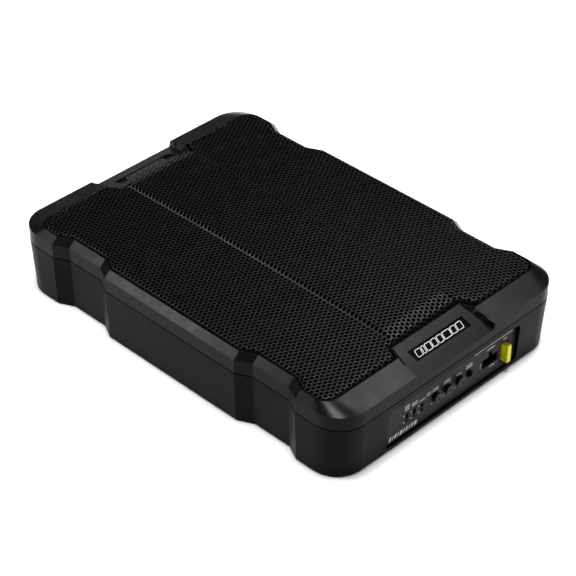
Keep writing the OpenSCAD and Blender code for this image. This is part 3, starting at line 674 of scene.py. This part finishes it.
def captions(switch_x, knob_x, jack_x, header_x, fuse_x, rng):
    """The lines of small print above the controls and below the header."""
    # the middle and half width of each caption, and the heights of its lines
    rows = [
        (switch_x[0], 3.2, (36.4, 34.2, 32.0)),
        (switch_x[1], 3.6, (34.3, 32.0)),
        (switch_x[2], 3.8, (31.2,)),
        (switch_x[2] + 8.8, 3.2, (34.0, 31.6)),
        (knob_x[0], 3.9, (34.2, 31.8)),
        (knob_x[1], 4.4, (34.2, 31.8)),
        (knob_x[2], 3.2, (31.8,)),
        (jack_x, 4.2, (34.4, 31.8)),
        (header_x, 5.2, (36.6,)),
        (fuse_x, 2.6, (36.8,)),
        (header_x + 3, 3.4, (15.0,)),
    ]
    parts = []
    for x, half, lines in rows:
        for z in lines:
            parts += small_print(x - half, x + half, z, CAPTION_H, rng)
    return parts


def switch_marks(switch_x, rng):
    """Small print beside the two ends of each switch's travel."""
    parts = []
    for x in switch_x:
        for z in SWITCH_MARK_Z:
            parts += small_print(x - SWITCH_MARK_FROM, x - SWITCH_MARK_TO, z, SWITCH_MARK_H, rng)
    return parts


def knob_marks(knob_x):
    """A tick at each end of each knob's turn."""
    ticks = [x + side * TICK_OFF for x in knob_x for side in (-1, 1)]
    return [ink_box(x - TICK_HALF_W, x + TICK_HALF_W, TICK_Z0, TICK_Z1) for x in ticks]


def header_marks(header_x):
    """Two dots to the left of the header, one above the other."""
    x0, x1 = header_x - DOT_FROM, header_x - DOT_TO
    return [ink_box(x0, x1, z - DOT_HALF_H, z + DOT_HALF_H) for z in DOT_Z]


def arc_print(rng):
    """The line of print along the panel's upper edge, on the right, which droops at its ends."""
    parts = []
    for x in np.arange(ARC_X0, ARC_X1, ARC_STEP):
        droop = ARC_DROOP * (x - ARC_TOP_X) ** 2
        parts += small_print(x, x + ARC_WORD, ARC_TOP_Z - droop, ARC_PRINT_H, rng)
    return parts


def panel_print():
    """All the ink on the control panel, as one piece."""
    rng = random.Random(PRINT_SEED)
    switch_x = [box_middle(f"{n}_switch_slider").x for n in ("phase", "input", "turn_on")]
    knob_x = [box_middle(f"{n}_knob").x for n in ("gain", "crossover", "bass_boost")]
    jack_x, header_x, fuse_x = [
        box_middle(node).x for node in ("remote_jack", "harness_header", "fuse_body")
    ]
    parts = captions(switch_x, knob_x, jack_x, header_x, fuse_x, rng)
    parts += switch_marks(switch_x, rng)
    parts += knob_marks(knob_x)
    parts += header_marks(header_x)
    parts += arc_print(rng)
    parts += corner_mark()
    ink = mesh_object("panel_print", *joined(parts), MATERIALS["print_white"])
    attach(ink, "case")


panel_print()


# ---------- surround and spider, which bend between the case and the cone ----------

SECTORS = 16
SECTOR_STEPS = 6
GLUE_T = 0.05
# The surround: its edges' radii, its half roll's middle, inner radius and outer height, and the
# thickness of its rubber
SURROUND_IN_R, SURROUND_OUT_R = 97.0, 121.0
HALF_ROLL_MIDDLE_R, HALF_ROLL_R, HALF_ROLL_H = 108.9, 6.6, 6.9
HALF_ROLL_STEPS = 20
RUBBER_T = 0.9
# The spider: its height, its cloth, its edges' radii, and the inner stretch that is drawn in
# short steps
SPIDER_Z = 42.5
SPIDER_T = 0.6
SPIDER_IN_R, SPIDER_OUT_R = 25.75, 78.0
SPIDER_RUN, SPIDER_STEP = 44, 0.5
# The spider's waves: where they begin and end from its inner edge, and their pitch and height
WAVE_START, WAVE_END = 4, 40
WAVE_PITCH, WAVE_H = 6, 1.2


def turned_sectors(name, profile, material):
    """A closed radial profile turned about the woofer's axis, in SECTORS equal pieces.
    """
    n = len(profile)
    half = math.pi / SECTORS
    for k in range(SECTORS):
        middle = 2 * math.pi * (k + 0.5) / SECTORS
        angles = [middle - half + 2 * half * i / SECTOR_STEPS for i in range(SECTOR_STEPS + 1)]
        points = []
        for a in angles:
            points += [(AXIS_X + r * math.cos(a), AXIS_Y + r * math.sin(a), h) for r, h in profile]
        last = SECTOR_STEPS * n
        faces = [tuple(range(n - 1, -1, -1)), tuple(range(last, last + n))]
        for i in range(SECTOR_STEPS):
            for j in range(n):
                a, b = i * n + j, i * n + (j + 1) % n
                faces.append((a, b, b + n, a + n))
        piece = mesh_object(f"{name}_{k + 1}", points, faces, MATERIALS[material], smooth_deg=40)
        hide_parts(name)
        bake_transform(piece)


def surround_profile():
    """The rubber surround: its foot on the cone, its half roll, and its foot on the basket."""
    foot = top_z("cone") + GLUE_T
    outer_foot = top_z("woofer_basket") + GLUE_T
    roll_in, roll_out = HALF_ROLL_R, HALF_ROLL_R + RUBBER_T
    arch = [math.radians(180 - 180 / HALF_ROLL_STEPS * i) for i in range(HALF_ROLL_STEPS + 1)]
    under = [(SURROUND_IN_R, foot)]
    for a in arch:
        under.append((HALF_ROLL_MIDDLE_R + roll_in * math.cos(a), foot + roll_in * math.sin(a)))
    under += [(HALF_ROLL_MIDDLE_R + roll_in, outer_foot), (SURROUND_OUT_R, outer_foot)]
    over = [(SURROUND_OUT_R, outer_foot + RUBBER_T)]
    over.append((HALF_ROLL_MIDDLE_R + HALF_ROLL_R + RUBBER_T, outer_foot + RUBBER_T))
    for a in reversed(arch):
        height = foot + RUBBER_T + HALF_ROLL_H * math.sin(a)
        over.append((HALF_ROLL_MIDDLE_R + roll_out * math.cos(a), height))
    return under + over + [(SURROUND_IN_R, foot + RUBBER_T)]


def spider_wave(run):
    """Height of the spider's waves at a distance from its inner edge."""
    if run < WAVE_START or run > WAVE_END:
        return 0
    return WAVE_H * math.sin(math.radians((run - WAVE_START) * 360 / WAVE_PITCH))


def spider_profile():
    """The spider: six waves between a flat inner edge and a flat outer edge."""
    runs = [SPIDER_STEP * i for i in range(round(SPIDER_RUN / SPIDER_STEP) + 1)]
    under = [(SPIDER_IN_R + run, SPIDER_Z + spider_wave(run)) for run in runs]
    over = [(SPIDER_IN_R + run, SPIDER_Z + SPIDER_T + spider_wave(run)) for run in reversed(runs)]
    return under + [(SPIDER_OUT_R, SPIDER_Z), (SPIDER_OUT_R, SPIDER_Z + SPIDER_T)] + over


turned_sectors("surround", surround_profile(), "rubber")
turned_sectors("spider", spider_profile(), "spider_cloth")


# ---------- tinsel leads ----------

# The route from the cone to the basket's terminals, as distances from the axis and heights
TINSEL_ROUTE = [(-62, 52.8), (-65, 50.6), (-70, 49.2), (-75.5, 48.8), (-80, 47.4), (-81.6, 45.5)]
TINSEL_R = 0.7
# The number of sides around the wire, and of steps between two points of the route
WIRE_SIDES = 10
ROUTE_STEPS = 6


def swept(path, radius):
    """A closed round wire along smooth points, as (points, faces)."""
    rings, faces = [], []
    for i, p in enumerate(path):
        along = (path[min(i + 1, len(path) - 1)] - path[max(i - 1, 0)]).normalized()
        u = along.cross(Vector((1, 0, 0))).normalized()
        v = along.cross(u)
        for k in range(WIRE_SIDES):
            turn = 2 * math.pi * k / WIRE_SIDES
            rings.append(p + radius * (math.cos(turn) * u + math.sin(turn) * v))
    for i in range(len(path) - 1):
        for k in range(WIRE_SIDES):
            a, b = i * WIRE_SIDES + k, i * WIRE_SIDES + (k + 1) % WIRE_SIDES
            faces.append((a, b, b + WIRE_SIDES, a + WIRE_SIDES))
    last = (len(path) - 1) * WIRE_SIDES
    faces += [tuple(range(WIRE_SIDES - 1, -1, -1)), tuple(range(last, last + WIRE_SIDES))]
    return rings, faces


def rounded_path(points):
    """A smooth curve through given points (Catmull-Rom)."""
    path = [Vector(p) for p in points]
    ext = [path[0] * 2 - path[1]] + path + [path[-1] * 2 - path[-2]]
    out = []
    for i in range(1, len(ext) - 2):
        a, b, c, d = ext[i - 1 : i + 3]
        square = 2 * a - 5 * b + 4 * c - d
        cube = 3 * b - a - 3 * c + d
        for k in range(ROUTE_STEPS):
            t = k / ROUTE_STEPS
            out.append(0.5 * (2 * b + (c - a) * t + square * t * t + cube * t**3))
    return out + [path[-1]]


for side, x in (("left", -8), ("right", 8)):
    route = rounded_path([(x, AXIS_Y + y, z) for y, z in TINSEL_ROUTE])
    wire = swept(route, TINSEL_R)
    lead = mesh_object(f"tinsel_lead_{side}", *wire, MATERIALS["copper_wire"], smooth_deg=60)
    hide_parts("tinsel_leads")
    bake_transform(lead)


# ---------- soft edges on the carried-over nodes ----------

# Width of the rounding, the sharpest angle left alone in degrees, and the number of segments
EDGES = {
    "lower_housing": (1.6, 20, 3),
    "top_bezel": (1.0, 14, 3),
    "control_panel": (0.25, 40, 2),
    "gain_knob": (0.3, 40, 2),
    "crossover_knob": (0.3, 40, 2),
    "bass_boost_knob": (0.3, 40, 2),
    "fuse_body": (0.35, 40, 2),
    "harness_header": (0.15, 40, 2),
    "remote_jack": (0.2, 40, 2),
}
FLAT_DEG = 0.6


def soften(obj, width_mm, angle_deg, segments):
    """Joins the triangles of flat faces, then rounds the edges sharper than angle_deg."""
    obj.data.shade_smooth()
    flat = obj.modifiers.new("merge_flat", "DECIMATE")
    flat.decimate_type = "DISSOLVE"
    flat.angle_limit = math.radians(FLAT_DEG)
    edge = obj.modifiers.new("soft_edges", "BEVEL")
    edge.width = width_mm * MM
    edge.segments = segments
    edge.limit_method = "ANGLE"
    edge.angle_limit = math.radians(angle_deg)
    edge.harden_normals = True


for node, edge in EDGES.items():
    soften(frame["nodes"][node], *edge)


# ---------- camera ----------

# The photograph's viewing angle. Distances and places are in metres here, and the lens in
# millimetres.
CAMERA_AZ, CAMERA_EL = math.radians(-45.37), math.radians(36.87)
CAMERA_DISTANCE = 1.93389
CAMERA_LENS = 126.25
CAMERA_AIM = Vector((0, 0, 0.040))
CAMERA_SIDE, CAMERA_RISE = 0.00383, -0.01212


def make_camera():
    """The photograph's camera: it looks at CAMERA_AIM from the front left, a little off centre."""
    back = Vector(
        (
            math.sin(CAMERA_AZ) * math.cos(CAMERA_EL),
            -math.cos(CAMERA_AZ) * math.cos(CAMERA_EL),
            math.sin(CAMERA_EL),
        )
    )
    right = Vector((math.cos(CAMERA_AZ), math.sin(CAMERA_AZ), 0))
    up = back.cross(right)
    data = bpy.data.cameras.new("camera")
    data.lens = CAMERA_LENS
    data.sensor_width = 36
    data.clip_start = 0.1
    data.clip_end = 50
    camera = bpy.data.objects.new("camera", data)
    bpy.context.scene.collection.objects.link(camera)
    camera.location = CAMERA_AIM + right * CAMERA_SIDE + up * CAMERA_RISE + back * CAMERA_DISTANCE
    camera.rotation_mode = "QUATERNION"
    camera.rotation_quaternion = back.to_track_quat("Z", "Y")
    bpy.context.scene.camera = camera


# ---------- floor and light ----------

FLOOR_HALF, FLOOR_T = 12000, 20
FLOOR_GAP = 0.05
WORLD_STRENGTH = 0.05
SUN_STRENGTH, SUN_SPREAD_DEG = 3.7, 16
# Each area light's place, the point that it faces and its side, all in metres, and its power
AREA_LIGHTS = {
    "right_soft": ((0.70, 0.05, 1.20), (-0.1, -0.2, 0.07), 0.45, 10),
    "left_soft": ((-0.76, 0.68, 0.74), (-0.147, 0.06, 0.07), 0.28, 6.5),
    "front_right": ((1.3, -1.4, 1.35), (0, -0.2, 0.07), 0.7, 9),
}


def make_floor():
    """A wide white floor just under the case."""
    mat, nodes, links, shader = node_tree("floor_white")
    coords = nodes.new("ShaderNodeTexCoord")
    wide = noise(nodes, links, coords, 3.0)
    tone = ramp(nodes, links, wide.outputs["Fac"], grey(0.88), grey(0.9))
    links.new(tone.outputs["Color"], shader.inputs["Base Color"])
    shader.inputs["Roughness"].default_value = 0.9
    points, faces = box_part((-FLOOR_HALF, -FLOOR_HALF, -FLOOR_T), (FLOOR_HALF, FLOOR_HALF, -FLOOR_GAP))
    floor = mesh_object("floor", points, faces, mat)


def make_world():
    """A dim white surrounding."""
    world = bpy.data.worlds.new("studio")
    bpy.context.scene.world = world
    world.use_nodes = True
    background = world.node_tree.nodes["Background"]
    background.inputs["Color"].default_value = (1, 1, 1, 1)
    background.inputs["Strength"].default_value = WORLD_STRENGTH


def lamp_object(name, data, towards):
    """Puts a light in the scene, shining from the given direction, and returns its object."""
    lamp = bpy.data.objects.new(name, data)
    bpy.context.scene.collection.objects.link(lamp)
    lamp.rotation_mode = "QUATERNION"
    lamp.rotation_quaternion = towards.to_track_quat("Z", "Y")
    return lamp


def area_light(name, place, aim, size, power):
    """A square light at place that faces aim."""
    data = bpy.data.lights.new(name, "AREA")
    data.shape = "SQUARE"
    data.size = size
    data.energy = power
    lamp = lamp_object(name, data, Vector(place) - Vector(aim))
    lamp.location = place


def overhead_sun():
    """A wide soft sun straight above."""
    data = bpy.data.lights.new("overhead", "SUN")
    data.energy = SUN_STRENGTH
    data.angle = math.radians(SUN_SPREAD_DEG)
    lamp_object("overhead", data, Vector((0, 0, 1)))


make_camera()
make_floor()
make_world()
overhead_sun()
for name, light in AREA_LIGHTS.items():
    area_light(name, *light)

bpy.context.scene.view_settings.view_transform = "Standard"
